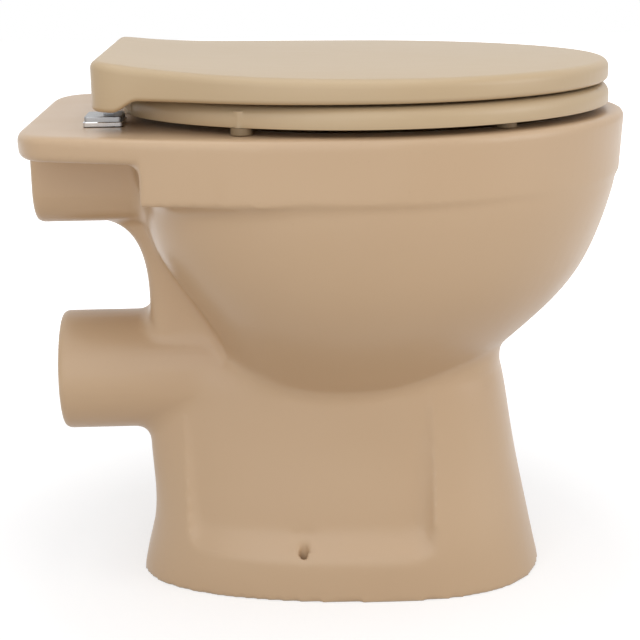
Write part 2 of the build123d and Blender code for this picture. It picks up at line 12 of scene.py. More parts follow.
import bmesh
import bpy
import numpy as np
from mathutils import Matrix, Vector
from mathutils.bvhtree import BVHTree
from mathutils.geometry import interpolate_bezier


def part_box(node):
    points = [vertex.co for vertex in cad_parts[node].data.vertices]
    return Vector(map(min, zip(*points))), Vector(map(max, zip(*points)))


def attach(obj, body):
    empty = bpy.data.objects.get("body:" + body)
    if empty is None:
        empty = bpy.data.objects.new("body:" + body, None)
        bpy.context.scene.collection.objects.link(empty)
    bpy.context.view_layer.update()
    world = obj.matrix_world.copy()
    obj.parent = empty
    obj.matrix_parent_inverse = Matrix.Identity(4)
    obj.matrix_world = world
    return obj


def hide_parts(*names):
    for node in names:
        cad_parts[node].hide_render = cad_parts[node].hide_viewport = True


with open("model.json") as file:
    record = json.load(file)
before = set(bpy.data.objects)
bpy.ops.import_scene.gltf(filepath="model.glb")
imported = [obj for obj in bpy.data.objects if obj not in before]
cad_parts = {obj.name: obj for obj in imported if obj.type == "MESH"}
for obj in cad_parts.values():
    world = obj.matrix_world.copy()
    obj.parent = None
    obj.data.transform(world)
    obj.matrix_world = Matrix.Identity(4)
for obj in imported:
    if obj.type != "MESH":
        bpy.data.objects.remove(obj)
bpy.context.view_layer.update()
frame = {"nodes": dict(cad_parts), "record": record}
MM = 0.001
nodes = frame["nodes"]
print("nodes in the frame:", len(nodes))

# %% [markdown]
# ## Colours and a way to write materials
# A colour picked from a screen is an sRGB value, but a shader wants linear light, so one function
# turns the hex code round. Materials are node trees. One small function adds a node, sets its
# values and joins its inputs, which keeps every material short enough to read in one look.


# %% Helpers for colours and nodes
def colour(code):
    """Linear RGBA from an sRGB hex code such as 'C6AA8A'."""
    shares = [int(code[i:i + 2], 16) / 255 for i in (0, 2, 4)]
    linear = [s / 12.92 if s <= 0.04045 else ((s + 0.055) / 1.055) ** 2.4 for s in shares]
    return (*linear, 1.0)


def add(tree, kind, links=None, **settings):
    """Adds one node: links maps an input's name to another node's output or to a value."""
    node = tree.nodes.new(kind)
    for name, value in settings.items():
        setattr(node, name, value)
    for name, source in (links or {}).items():
        if isinstance(source, bpy.types.NodeSocket):
            tree.links.new(source, node.inputs[name])
        else:
            node.inputs[name].default_value = source
    return node


def new_material(name):
    """An empty material, its node tree, its Object coordinates and its output node."""
    material = bpy.data.materials.new(name)
    material.use_nodes = True
    tree = material.node_tree
    tree.nodes.clear()
    place = add(tree, "ShaderNodeTexCoord").outputs["Object"]
    return material, tree, place, add(tree, "ShaderNodeOutputMaterial")


def per_metre(size_mm):
    """Scale of a noise whose grains are about size_mm across."""
    return 1 / (size_mm * MM)


def blend(tree, factor, first, second):
    """A colour between two others; the factor can be a value or another node's output."""
    return add(tree, "ShaderNodeMix", {0: factor, 6: first, 7: second}, data_type="RGBA").outputs[2]


def stretched(tree, noise, low, high):
    """A value that runs from low to high over the middle part of a noise."""
    ends = {0: noise.outputs[0], 1: 0.3, 2: 0.7, 3: low, 4: high}
    return add(tree, "ShaderNodeMapRange", ends).outputs[0]


def larger(tree, one, other):
    """The larger of two values."""
    return add(tree, "ShaderNodeMath", {0: one, 1: other}, operation="MAXIMUM").outputs[0]


print("tan in linear light:", [round(c, 3) for c in colour("C6AA8A")[:3]])

# %% [markdown]
# ## Camera
# The photograph looks at the left flank of the toilet from a little above the seat, with a fairly
# long lens. The three angles turn the camera from looking along +X: a few degrees of yaw, fifteen
# of pitch and a touch of roll. Its axes are built from those angles and set as one matrix.

# %% Camera
camera_place = Vector((-1.20304, 0.05703, 0.54953))
camera_yaw = 0.038597
camera_pitch = 0.269035
camera_roll = -0.012109
lens_mm = 81.23

ahead = Vector((
    math.cos(camera_yaw) * math.cos(camera_pitch),
    -math.sin(camera_yaw) * math.cos(camera_pitch),
    -math.sin(camera_pitch),
))
level = Vector((-math.sin(camera_yaw), -math.cos(camera_yaw), 0))
upright = level.cross(ahead)
right = level * math.cos(camera_roll) + upright * math.sin(camera_roll)
up = upright * math.cos(camera_roll) - level * math.sin(camera_roll)
turn = Matrix((right, up, -ahead)).transposed()
camera_data = bpy.data.cameras.new("camera")
camera_data.lens = lens_mm
camera = bpy.data.objects.new("camera", camera_data)
camera.matrix_world = Matrix.Translation(camera_place) @ turn.to_4x4()
bpy.context.scene.collection.objects.link(camera)
bpy.context.scene.camera = camera
bpy.context.scene.view_settings.view_transform = "Standard"
print("camera looks along", [round(v, 3) for v in ahead])

# %% [markdown]
# ## Studio
# A product shot on white has a bright room rather than a bright lamp. The world is a pale dome
# that lights from everywhere, and three big soft lamps give the surfaces a direction. What the
# camera, a mirror or a glass sees of the background is plain white, chosen by Light Path nodes, so
# that the light on the object stays low enough for its colours to come out as they are written.

# %% World and lamps
def sees_backdrop(tree):
    """1 for the rays that show the backdrop: from the camera, off a mirror or through a glass."""
    ray = add(tree, "ShaderNodeLightPath").outputs
    seen = larger(tree, ray["Is Camera Ray"], ray["Is Glossy Ray"])
    return larger(tree, seen, ray["Is Transmission Ray"])


dome_strength = 0.62
world = bpy.data.worlds.new("studio")
world.use_nodes = True
sky = world.node_tree
sky.nodes.clear()
direct = sees_backdrop(sky)
dome = add(sky, "ShaderNodeBackground", {"Color": colour("F4F4F6"), "Strength": dome_strength})
white = add(sky, "ShaderNodeBackground", {"Color": colour("FFFFFF"), "Strength": 1.0})
seen = add(sky, "ShaderNodeMixShader", {0: direct, 1: dome.outputs[0], 2: white.outputs[0]})
add(sky, "ShaderNodeOutputWorld", {"Surface": seen.outputs[0]})
bpy.context.scene.world = world


def soft_lamp(name, place, target, size, power):
    """A square area lamp at place that faces target."""
    lamp = bpy.data.lights.new(name, "AREA")
    lamp.shape = "SQUARE"
    lamp.size = size
    lamp.energy = power
    obj = bpy.data.objects.new(name, lamp)
    obj.location = place
    obj.rotation_euler = (Vector(target) - Vector(place)).to_track_quat("-Z", "Y").to_euler()
    bpy.context.scene.collection.objects.link(obj)
    return obj


middle = (0, 0, 0.22)
soft_lamp("overhead_softbox", (-0.35, 0.1, 2.0), middle, 1.6, 9)
soft_lamp("side_softbox", (-1.9, 0.5, 1.0), middle, 2.0, 13)
soft_lamp("front_fill", (-0.9, -2.0, 0.9), middle, 1.2, 10)
print("lamps:", len(bpy.data.lights))

# %% [markdown]
# ## Floor
# Near the object the floor is plain paper, so that it keeps the soft shadow. Further out it turns
# into the white of the backdrop. Rays that only carry light see a warm, darker floor, which keeps
# the undersides of the casting as deep in tone as they are in the photograph.

# %% Floor
shadow_reach, white_from, near_glow = 0.25, 0.9, 0.54

floor_mesh = bpy.data.meshes.new("floor")
sheet = bmesh.new()
bmesh.ops.create_grid(sheet, x_segments=1, y_segments=1, size=6)
sheet.to_mesh(floor_mesh)
floor = bpy.data.objects.new("floor", floor_mesh)
floor.location.z = -0.0002
bpy.context.scene.collection.objects.link(floor)
paper, tree, place, output = new_material("studio_floor")
direct = sees_backdrop(tree)
plain = add(tree, "ShaderNodeBsdfDiffuse", {"Color": colour("C4BAAD")})
catch = add(tree, "ShaderNodeBsdfDiffuse", {"Color": colour("C8C8C8")})
from_middle = add(tree, "ShaderNodeVectorMath", {0: place}, operation="LENGTH").outputs["Value"]
glow_ends = {0: from_middle, 1: shadow_reach, 2: white_from, 3: near_glow, 4: 1.0}
glow = add(tree, "ShaderNodeMapRange", glow_ends)
lift = add(tree, "ShaderNodeEmission", {"Color": colour("FFFFFF"), "Strength": glow.outputs[0]})
bright = add(tree, "ShaderNodeAddShader", {0: catch.outputs[0], 1: lift.outputs[0]})
both = add(tree, "ShaderNodeMixShader", {0: direct, 1: plain.outputs[0], 2: bright.outputs[0]})
tree.links.new(both.outputs[0], output.inputs["Surface"])
floor.data.materials.append(paper)
print("floor at", round(floor.location.z / MM, 2), "mm")

# %% [markdown]
# ## Glazed vitreous china
# The pan is slip cast, sprayed with a coloured glaze and fired. The glaze is a layer of glass: it
# reflects softly and evenly, it pools a little, and its surface has the faint ripple that potters
# call orange peel. Under the foot, where it stood in the kiln, the clay stays bare, pale and dull.
# The skin carries an attribute named bare for that, which is 1 where no glaze was sprayed.

# %% Glaze
china, tree, place, output = new_material("glazed_vitreous_china")
pooling = add(tree, "ShaderNodeTexNoise", {"Vector": place, "Scale": per_metre(160), "Detail": 2.0})
glaze = blend(tree, pooling.outputs[0], colour("C7A988"), colour("CCB08F"))
specks = add(tree, "ShaderNodeTexNoise", {"Vector": place, "Scale": per_metre(2.5), "Detail": 3.0})
speck_mask = add(tree, "ShaderNodeMapRange", {0: specks.outputs[0], 1: 0.66, 2: 0.74, 3: 0.0, 4: 0.06})
speckled = blend(tree, speck_mask.outputs[0], glaze, colour("9C7A58"))
bare = add(tree, "ShaderNodeAttribute", attribute_name="bare").outputs["Fac"]
clay_grain = add(tree, "ShaderNodeTexNoise", {"Vector": place, "Scale": per_metre(3), "Detail": 6.0})
clay = blend(tree, clay_grain.outputs[0], colour("CFC6B8"), colour("E2DBCF"))
skin = blend(tree, bare, speckled, clay)
sheen = add(tree, "ShaderNodeTexNoise", {"Vector": place, "Scale": per_metre(45), "Detail": 2.0})
glaze_rough = stretched(tree, sheen, 0.32, 0.38)
rough = add(tree, "ShaderNodeMix", {0: bare, 2: glaze_rough, 3: 0.8}, data_type="FLOAT")
peel = add(tree, "ShaderNodeTexNoise", {"Vector": place, "Scale": per_metre(9), "Detail": 1.5})
ripple = add(tree, "ShaderNodeBump", {"Height": peel.outputs[0], "Distance": 0.04 * MM, "Strength": 0.5})
glass = add(tree, "ShaderNodeBsdfPrincipled", {
    "Base Color": skin, "Roughness": rough.outputs[0], "Normal": ripple.outputs[0],
    "IOR": 1.52,
})
tree.links.new(glass.outputs[0], output.inputs["Surface"])

# %% [markdown]
# ## Thermoset seat plastic
# Seat and lid are pressed from urea resin in a steel tool. The resin is dense and opaque, so the
# colour is one even tone all through, and the satin gloss comes straight from the tool. Wiping
# leaves fine hairlines, which only show as slight changes of gloss.

# %% Seat plastic
resin, tree, place, output = new_material("moulded_urea_resin")
cloud = add(tree, "ShaderNodeTexNoise", {"Vector": place, "Scale": per_metre(220), "Detail": 1.0})
tone = blend(tree, cloud.outputs[0], colour("BFA784"), colour("C6AE8B"))
hairline_grain = (per_metre(1.2), per_metre(30), per_metre(8))
wiped = add(tree, "ShaderNodeMapping", {"Vector": place, "Scale": hairline_grain})
hairlines = add(tree, "ShaderNodeTexNoise", {"Vector": wiped.outputs[0], "Scale": 1.0, "Detail": 4.0})
gloss = stretched(tree, hairlines, 0.36, 0.42)
flow = add(tree, "ShaderNodeTexNoise", {"Vector": place, "Scale": per_metre(14), "Detail": 1.0})
sink = add(tree, "ShaderNodeBump", {"Height": flow.outputs[0], "Distance": 0.03 * MM, "Strength": 0.4})
polished = add(tree, "ShaderNodeBsdfPrincipled", {
    "Base Color": tone, "Roughness": gloss, "Normal": sink.outputs[0], "IOR": 1.54,
})
tree.links.new(polished.outputs[0], output.inputs["Surface"])

# %% [markdown]
# ## Metals, rubber and nylon
# The hinge base is chrome on zinc, which is bright and only slightly hazy. The hinge plates, pins
# and studs are stainless steel, brushed along one way, so their grain is a noise that is drawn out.
# The gaskets are black rubber, the buffers a soft tan rubber painted darker as painted shade of the gap
# under the seat, and bushes and nuts natural nylon.


# %% Hardware finishes
def grained(name, low, high, rough_low, rough_high, grain, bump_mm, **shader):
    """A finish whose colour, roughness and relief follow one noise with the grain sizes given in mm."""
    material, tree, place, output = new_material(name)
    scale = tuple(per_metre(size) for size in grain)
    drawn = add(tree, "ShaderNodeMapping", {"Vector": place, "Scale": scale})
    noise = add(tree, "ShaderNodeTexNoise", {"Vector": drawn.outputs[0], "Scale": 1.0, "Detail": 4.0})
    tone = blend(tree, noise.outputs[0], colour(low), colour(high))
    dullness = stretched(tree, noise, rough_low, rough_high)
    heights = {"Height": noise.outputs[0], "Distance": bump_mm * MM, "Strength": 0.6}
    relief = add(tree, "ShaderNodeBump", heights)
    surface = add(tree, "ShaderNodeBsdfPrincipled", {
        "Base Color": tone, "Roughness": dullness, "Normal": relief.outputs[0],
    })
    for socket, value in shader.items():
        surface.inputs[socket.replace("_", " ")].default_value = value
    tree.links.new(surface.outputs[0], output.inputs["Surface"])
    return material


finishes = {
    "glazed_ceramic": china,
    "seat_plastic": resin,
    "chrome": grained("chrome_on_zinc", "C9CBCF", "DEE0E3", 0.06, 0.14, (6, 6, 6), 0.01, Metallic=1.0),
    "steel": grained(
        "brushed_stainless_steel", "8B8C8E", "A9AAAC", 0.26, 0.4, (12, 0.35, 0.35), 0.02, Metallic=1.0,
    ),
    "rubber": grained("black_rubber", "1B1B1C", "2A2A2B", 0.6, 0.75, (0.6, 0.6, 0.6), 0.03),
    # The buffers' tan is darker than the rubber itself: painted shade, so that they read as part of the
    # shaded gap under the seat.
    "buffer_rubber": grained("tan_rubber_darkened_as_gap_shade", "7D6A50", "8C7759", 0.5, 0.65, (1.5, 1.5, 1.5), 0.03),
    "nylon": grained("natural_nylon", "D9D6CC", "E6E3DA", 0.35, 0.45, (2.5, 2.5, 2.5), 0.02),
}
slot_of = {row["node"]: row["material_slot"] for row in frame["record"]["subparts"]}
for name, node in nodes.items():
    node.data.materials.clear()
    node.data.materials.append(finishes[slot_of[name]])
print("finishes:", ", ".join(m.name for m in finishes.values()))

# %% [markdown]
# ## The casting's skin
# Slip casting leaves no crisp inner corners: where the outlet pipe meets the pedestal, or the bowl
# meets the foot, the clay runs over in a soft fillet. The plain solid meets there in sharp lines,
# so a new skin takes its place. First a few helpers, and a note of which faces the glaze reached:
# all that can be walked to from the rim without crossing the flat that stands on the floor.

# %% Copy the solid and find its bare side
def merged_copy(node):
    """A bmesh copy of a node, with its loose triangles joined at their corners."""
    copy = bmesh.new()
    copy.from_mesh(node.data)
    bmesh.ops.remove_doubles(copy, verts=copy.verts, dist=0.001 * MM)
    return copy


def draw_out(bm, faces, way):
    """Extrudes faces along a way."""
    made = bmesh.ops.extrude_face_region(bm, geom=faces)
    moved = [v for v in made["geom"] if isinstance(v, bmesh.types.BMVert)]
    bmesh.ops.translate(bm, verts=moved, vec=way)


def prism(corners, way):
    """A closed block: the face with the given corners, drawn out along a way."""
    block = bmesh.new()
    face = block.faces.new([block.verts.new(corner) for corner in corners])
    draw_out(block, [face], way)
    bmesh.ops.recalc_face_normals(block, faces=block.faces)
    return block


def finished(name, bm, finish, body, replaced, sharp_angle=40):
    """Turns a bmesh into a piece that rides on a body, and stands for the nodes in replaced."""
    mesh = bpy.data.meshes.new(name)
    bm.to_mesh(mesh)
    bm.free()
    mesh.materials.append(finish)
    for polygon in mesh.polygons:
        polygon.use_smooth = True
    mesh.set_sharp_from_angle(angle=math.radians(sharp_angle))
    piece = bpy.data.objects.new(name, mesh)
    bpy.context.scene.collection.objects.link(piece)
    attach(piece, body)
    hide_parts(*replaced)
    triangles = sum(len(p.vertices) - 2 for p in mesh.polygons)
    print(name, "triangles:", triangles)
    return piece


def through_modifiers(name, bm, modifiers):
    """Runs a bmesh through modifiers, given as (kind, settings), and returns the new bmesh."""
    mesh = bpy.data.meshes.new(name + "_draft")
    bm.to_mesh(mesh)
    bm.free()
    draft = bpy.data.objects.new(name + "_draft", mesh)
    bpy.context.scene.collection.objects.link(draft)
    for kind, settings in modifiers:
        modifier = draft.modifiers.new(kind.lower(), kind)
        for key, value in settings.items():
            setattr(modifier, key, value)
    graph = bpy.context.evaluated_depsgraph_get()
    made = bpy.data.meshes.new_from_object(draft.evaluated_get(graph))
    result = bmesh.new()
    result.from_mesh(made)
    bpy.data.objects.remove(draft)
    bpy.data.meshes.remove(made)
    bpy.data.meshes.remove(mesh)
    return result


def search_tree(bm, faces):
    """A tree for finding the nearest of some faces of a bmesh."""
    corners = [v.co.copy() for v in bm.verts]
    return BVHTree.FromPolygons(corners, [[v.index for v in face.verts] for face in faces])


floor_band = 0.3 * MM
casting = merged_copy(nodes["pan"])
glazed = set()
front = [max(casting.faces, key=lambda face: face.calc_center_median().z)]
while front:
    face = front.pop()
    if face.index in glazed:
        continue
    glazed.add(face.index)
    for edge in face.edges:
        for other in edge.link_faces:
            on_floor = all(v.co.z < floor_band for v in other.verts)
            if other.index not in glazed and not on_floor:
                front.append(other)
glazed_tree = search_tree(casting, [f for f in casting.faces if f.index in glazed])
bare_tree = search_tree(casting, [f for f in casting.faces if f.index not in glazed])
print("faces of the casting:", len(casting.faces), "under glaze:", len(glazed))

# %% [markdown]
# ## A net of even squares
# The plain solid has a slot in the underside of the shelf, next to the bowl, where a real casting
# is closed. A thin plate on each side closes it. Then a voxel remesh turns solid and plates into
# one even net of small squares, whose points are handled as rows of an array.

# %% Close the underside and make the net
voxel = 2.4 * MM
even_steps = 6
underside_z = 350.0
underside_depth = 8.0
underside = [
    (130, 66), (170, 66), (168, 82), (165, 100), (161, 120), (157, 137), (105, 137), (105, 108), (130, 92),
]
for side in (-1, 1):
    corners = [(side * x * MM, y * MM, underside_z * MM) for x, y in underside]
    plate = prism(corners, (0, 0, underside_depth * MM))
    plate_mesh = bpy.data.meshes.new("underside_plate")
    plate.to_mesh(plate_mesh)
    plate.free()
    casting.from_mesh(plate_mesh)
    bpy.data.meshes.remove(plate_mesh)

net = through_modifiers("casting", casting, [("REMESH", {"mode": "VOXEL", "voxel_size": voxel})])
net_mesh = bpy.data.meshes.new("casting_net")
net.to_mesh(net_mesh)
net.free()
count = len(net_mesh.vertices)
points = np.empty(count * 3)
net_mesh.vertices.foreach_get("co", points)
points = points.reshape(-1, 3)
pairs = np.empty(len(net_mesh.edges) * 2, int)
net_mesh.edges.foreach_get("vertices", pairs)
first, second = pairs.reshape(-1, 2).T
quads = np.array([p.vertices[:] for p in net_mesh.polygons])
neighbours = np.bincount(first, minlength=count) + np.bincount(second, minlength=count)


def pull(points):
    """For each point, the way to the middle of its neighbours."""
    total = np.stack([
        np.bincount(first, points[second, k], count) + np.bincount(second, points[first, k], count)
        for k in range(3)
    ], axis=1)
    return total / neighbours[:, None] - points


def smooth(points, steps):
    """Takes the stair steps out of the net without shrinking it."""
    for step in range(steps):
        points += 0.5 * pull(points)
        points -= 0.52 * pull(points)


smooth(points, even_steps)
print("squares in the net:", len(quads))

# %% [markdown]
# ## Filling the hollow corners
# Only the points in hollow corners move, step by step, because a plain smoothing would also wear
# away the lip of the rim and the edge of the pipe. The crease under the rim's band is filled less,
# so that it stays visible, and the hole for the floor screw is left open.

# %% Fill the hollow corners
fill_steps = 70
fill_share = 0.45
normals_every = 8
tight_radius = 70 * MM
least = voxel ** 2 / (2 * tight_radius)
band_low = 0.338
band_share = 0.07
band_fade = 0.07
hole_x, hole_y, hole_reach, hole_top = 0.0865, 0.030, 0.009, 0.07


def outward(points):
    """Unit normals of the points, from the diagonals of the squares round them."""
    a, b, c, d = (points[quads[:, k]] for k in range(4))
    across = np.cross(c - a, d - b)
    total = np.zeros_like(points)
    for k in range(4):
        for axis in range(3):
            total[:, axis] += np.bincount(quads[:, k], across[:, axis], count)
    return total / np.linalg.norm(total, axis=1)[:, None]


at_hole = np.hypot(np.abs(points[:, 0]) - hole_x, points[:, 1] - hole_y) < hole_reach
at_hole &= points[:, 2] < hole_top
fade = np.clip(points[:, 1] / band_fade, 0, 1)
under_band = points[:, 2] > band_low
amount = np.where(under_band, band_share + (fill_share - band_share) * fade, fill_share)
amount[at_hole] = 0.0
for step in range(fill_steps):
    if step % normals_every == 0:
        normals = outward(points)
    way = pull(points)
    rise = (way * normals).sum(axis=1)
    points += np.where(rise > least, amount, 0.0)[:, None] * way
print("points at the screw holes:", int(at_hole.sum()))

# %% [markdown]
# ## The widest blends
# Three places are softer still. Under the rear end of the band the clay sweeps from the shelf to
# the strut, the outlet pipe swells into the pedestal, and the ledge of the side panel is rounded.
# Each is an ellipse in the side view, given by its middle and reach in metres along Y and Z.

# %% Soften the blends
flare_middle, flare_reach, flare_share = (0.108, 0.322), (0.066, 0.040), 0.5
flare_fill_steps, flare_even_steps = 280, 10
flare_past_x, blend_past_x = 0.045, 0.05
soft_places = [
    ((0.105, 0.205), (0.075, 0.065), 0.5),
    ((0.000, 0.048), (0.140, 0.022), 0.15),
]
soft_steps = 90
facing_every = 40
last_steps = 2


def even_out(points, share, steps, hollow_only=False):
    """Moves the points whose share is above zero towards their neighbours' middle, and no others."""
    near = (share[first] > 0) | (share[second] > 0)
    chosen = np.unique(np.concatenate([first[near], second[near]]))
    place_of = np.zeros(count, int)
    place_of[chosen] = np.arange(len(chosen))
    one, other = place_of[first[near]], place_of[second[near]]
    part, part_share = points[chosen], share[chosen][:, None]
    for step in range(steps):
        total = np.stack([
            np.bincount(one, part[other, k], len(chosen)) + np.bincount(other, part[one, k], len(chosen))
            for k in range(3)
        ], axis=1)
        way = total / neighbours[chosen][:, None] - part
        if hollow_only:
            if step % facing_every == 0:
                points[chosen] = part
                facing = outward(points)[chosen]
            way[(way * facing).sum(axis=1) <= least] = 0
        part += part_share * way
    points[chosen] = part


flare = np.hypot(
    (points[:, 1] - flare_middle[0]) / flare_reach[0], (points[:, 2] - flare_middle[1]) / flare_reach[1],
)
flare_amount = flare_share * np.clip(2.5 - 2.5 * flare, 0, 1) * (np.abs(points[:, 0]) > flare_past_x)
even_out(points, flare_amount, flare_fill_steps, True)
even_out(points, flare_amount, flare_even_steps)
blur = np.zeros(count)
for centre, reach, strength in soft_places:
    away = np.hypot(*((points[:, 1:] - centre) / reach).T)
    blur = np.maximum(blur, strength * np.clip(1.6 - 1.6 * away, 0, 1))
blur *= (np.abs(points[:, 0]) > blend_past_x) & ~at_hole
even_out(points, blur, soft_steps)
smooth(points, last_steps)
points[:, 2] = np.maximum(points[:, 2], 0.0)
net_mesh.vertices.foreach_set("co", points.ravel())
print("points in the widest blends:", int((blur > 0).sum() + (flare_amount > 0).sum()))

# %% [markdown]
# ## The finished casting
# A last pass drops the points that flat stretches don't need. Each point that is left is then
# marked as glazed or bare, by the nearest face of the solid.

# %% Thin out and finish the casting
most_triangles = 190000
share = most_triangles / (2 * len(quads))
filled = bmesh.new()
filled.from_mesh(net_mesh)
bpy.data.meshes.remove(net_mesh)
thinned = through_modifiers("casting", filled, [("DECIMATE", {"ratio": min(1.0, share)})])
pan = finished("pan_casting", thinned, china, "pan", ["pan"], 75)
bare_mark = pan.data.attributes.new("bare", "FLOAT", "POINT")
for index, vertex in enumerate(pan.data.vertices):
    to_glaze = glazed_tree.find_nearest(vertex.co)[3]
    to_clay = bare_tree.find_nearest(vertex.co)[3]
    bare_mark.data[index].value = 1.0 if to_clay < to_glaze else 0.0

# %% [markdown]
# ## Outlines and cuts for the mouldings
# The seat and the lid are seen from above as smooth closed lines. Each right half is a few Bezier
# arcs, sampled into a chain of short edges, and the mirror operator makes the left half. From
# there on both are worked like clay slabs: extruded to their thickness, rounded with bevels, and
# joined or cut with exact Booleans where knuckles and openings come in.


# %% Outline and Boolean helpers
def outline(bm, height, arcs, points_per_arc):
    """Adds a closed outline at a height; arcs are the right half, back to front, in mm."""
    chain = [Vector((0, arcs[0][0][1], 0))]
    for arc, count in zip(arcs, points_per_arc):
        chain += interpolate_bezier(*[Vector((x, y, 0)) for x, y in arc], count)
    places = [p for p, after in zip(chain, chain[1:] + [None]) if after is None or (p - after).length > 0.01]
    verts = [bm.verts.new((p.x * MM, p.y * MM, height)) for p in places]
    edges = [bm.edges.new(pair) for pair in zip(verts, verts[1:])]
    bmesh.ops.mirror(bm, geom=verts + edges, axis="X", merge_dist=0.01 * MM)


def rim_edges(bm, height, test=None, wanted=True):
    """Edges that run round a slab at a height; a test picks those whose ends pass it, or the others."""
    found = []
    for edge in bm.edges:
        level = all(abs(v.co.z - height) < 0.01 * MM for v in edge.verts)
        if level and len(edge.link_faces) == 2 and any(abs(f.normal.z) < 0.5 for f in edge.link_faces):
            found.append(edge)
    if test is None:
        return found
    return [e for e in found if all(test(v.co) for v in e.verts) == wanted]


def round_off(bm, edges, radius, segments):
    """Rounds edges with a bevel of an even quarter round."""
    bmesh.ops.bevel(
        bm, geom=edges, offset=radius, segments=segments, profile=0.5, affect="EDGES",
        offset_type="OFFSET", material=-1, clamp_overlap=True,
    )


def box_tool(low, high):
    """A block between two corners, given in mm."""
    tool = bmesh.new()
    middle = (Vector(low) + Vector(high)) / 2 * MM
    size = (Vector(high) - Vector(low)) * MM
    bmesh.ops.create_cube(tool, size=1, matrix=Matrix.Translation(middle) @ Matrix.Diagonal((*size, 1)))
    return tool


def rod_tool(centre, radius, length, along, segments=48):
    """A round bar about a centre, along X or Z, in mm."""
    tool = bmesh.new()
    turn = Matrix.Rotation(math.radians(90), 4, "Y") if along == "X" else Matrix.Identity(4)
    bmesh.ops.create_cone(
        tool, cap_ends=True, segments=segments, radius1=radius * MM, radius2=radius * MM, depth=length * MM,
        matrix=Matrix.Translation(Vector(centre) * MM) @ turn,
    )
    return tool


def plate_tool(side_view, centre_x, width):
    """A plate across X from its corners as (y, z), in mm."""
    start = centre_x - width / 2
    return prism([(start * MM, y * MM, z * MM) for y, z in side_view], (width * MM, 0, 0))


def combined(name, bm, steps):
    """Joins or cuts a bmesh with tools, given as (operation, tool), by exact Booleans."""
    helpers = []
    modifiers = []
    for operation, tool in steps:
        mesh = bpy.data.meshes.new(name + "_tool")
        tool.to_mesh(mesh)
        tool.free()
        helper = bpy.data.objects.new(name + "_tool", mesh)
        bpy.context.scene.collection.objects.link(helper)
        helpers.append(helper)
        modifiers.append(("BOOLEAN", {"operation": operation, "object": helper, "solver": "EXACT"}))
    result = through_modifiers(name, bm, modifiers)
    for helper in helpers:
        mesh = helper.data
        bpy.data.objects.remove(helper)
        bpy.data.meshes.remove(mesh)
    return result


def slab(bm, height, thickness):
    """Closes an outline into a face, or two into a ring, and extrudes it up to a thickness."""
    if any(len(v.link_edges) != 2 for v in bm.verts):
        raise ValueError("the outline isn't closed")
    if outlines_in(bm) == 1:
        bmesh.ops.contextual_create(bm, geom=bm.edges[:])
    else:
        bmesh.ops.bridge_loops(bm, edges=bm.edges[:])
    draw_out(bm, bm.faces[:], (0, 0, thickness))
    bmesh.ops.recalc_face_normals(bm, faces=bm.faces)


def outlines_in(bm):
    """How many separate closed outlines a bmesh holds."""
    left = set(bm.verts)
    count = 0
    while left:
        stack = [left.pop()]
        count += 1
        while stack:
            for edge in stack.pop().link_edges:
                for vert in edge.verts:
                    if vert in left:
                        left.remove(vert)
                        stack.append(vert)
    return count


def hollow_below(bm, height, margin, depth):
    """Sinks a hollow into the underside, margin in from the edge of the flat and depth deep."""
    flat = [f for f in bm.faces if f.normal.z < -0.99 and abs(f.calc_center_median().z - height) < 0.01 * MM]
    bmesh.ops.inset_region(bm, faces=flat, thickness=margin, use_even_offset=True)
    draw_out(bm, flat, (0, 0, depth))
    bmesh.ops.delete(bm, geom=[f for f in flat if f.is_valid], context="FACES_ONLY")


def cut_through(bm, place, across):
    """Cuts a bmesh along a plane and keeps both sides."""
    everything = bm.verts[:] + bm.edges[:] + bm.faces[:]
    bmesh.ops.bisect_plane(bm, geom=everything, dist=0.001 * MM, plane_co=place, plane_no=across)


def centre_and_size(node):
    """Centre and size of a node's box, in mm."""
    low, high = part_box(node)
    return (low + high) / 2 / MM, (high - low) / MM


pin_centre = centre_and_size("hinge_pin_left")[0]
bush_centre, bush_size = centre_and_size("hinge_seat_bush_left")
lid_bush_centre = centre_and_size("hinge_lid_bush_left")[0]
knuckle_radius = 7.5
bush_radius = bush_size.y / 2
pin_y, pin_z = pin_centre.y, pin_centre.z
knuckle_width = bush_size.x
buffer_gap, buffer_stand = 0.3, 6.0
seat_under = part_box("seat_buffer_front_left")[0].z / MM - buffer_gap + buffer_stand
print("pin line at y, z:", round(pin_y, 1), round(pin_z, 1), "knuckles", round(knuckle_width, 1), "wide")

# %% [markdown]
# ## The seat ring
# The ring is 16 mm thick, with a generous round on the outer upper edge where the legs rest, a
# smaller one round the hole, and a crisp lower edge that throws the thin shadow line seen in the
# photograph. Underneath it is hollow, as every pressed ring is, with solid bosses for the buffers.

# %% Seat ring
seat_low, seat_high = (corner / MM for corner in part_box("seat"))
ring_thickness = 16.0
ring_half, ring_front = seat_high.x, seat_low.y
ring_back = pin_y - 7.0
widest = -25.0
hole_half, hole_front, hole_back = 112.0, -168.0, 100.0
ring_flat, ring_back_full, ring_nose_full = 30, 0.52, 0.53
hole_flat, hole_back_full, hole_nose_full = 20, 0.60, 0.56
hole_margin, hole_limit = 4, 1.15
arc_points = (40, 40)
arm_reach, arm_low_z = 30, 409.6
boss_radius, boss_height = 6.0, 12
bore_over = 4


def egg_arcs(back, front, half, flat, back_full, front_full):
    """Right half of an egg: a rear arc and a nose arc that meet at the widest station."""
    return [
        [(flat, back), (flat + (half - flat) * back_full, back),
         (half, widest + (back - widest) * back_full), (half, widest)],
        [(half, widest), (half, widest - (widest - front) * front_full),
         (half * front_full, front), (0, front)],
    ]


ring = bmesh.new()
outer = egg_arcs(ring_back, ring_front, ring_half, ring_flat, ring_back_full, ring_nose_full)
inner = egg_arcs(hole_back, hole_front, hole_half, hole_flat, hole_back_full, hole_nose_full)
for arcs in (outer, inner):
    outline(ring, seat_under * MM, arcs, arc_points)
slab(ring, seat_under * MM, ring_thickness * MM)
ring_top = (seat_under + ring_thickness) * MM


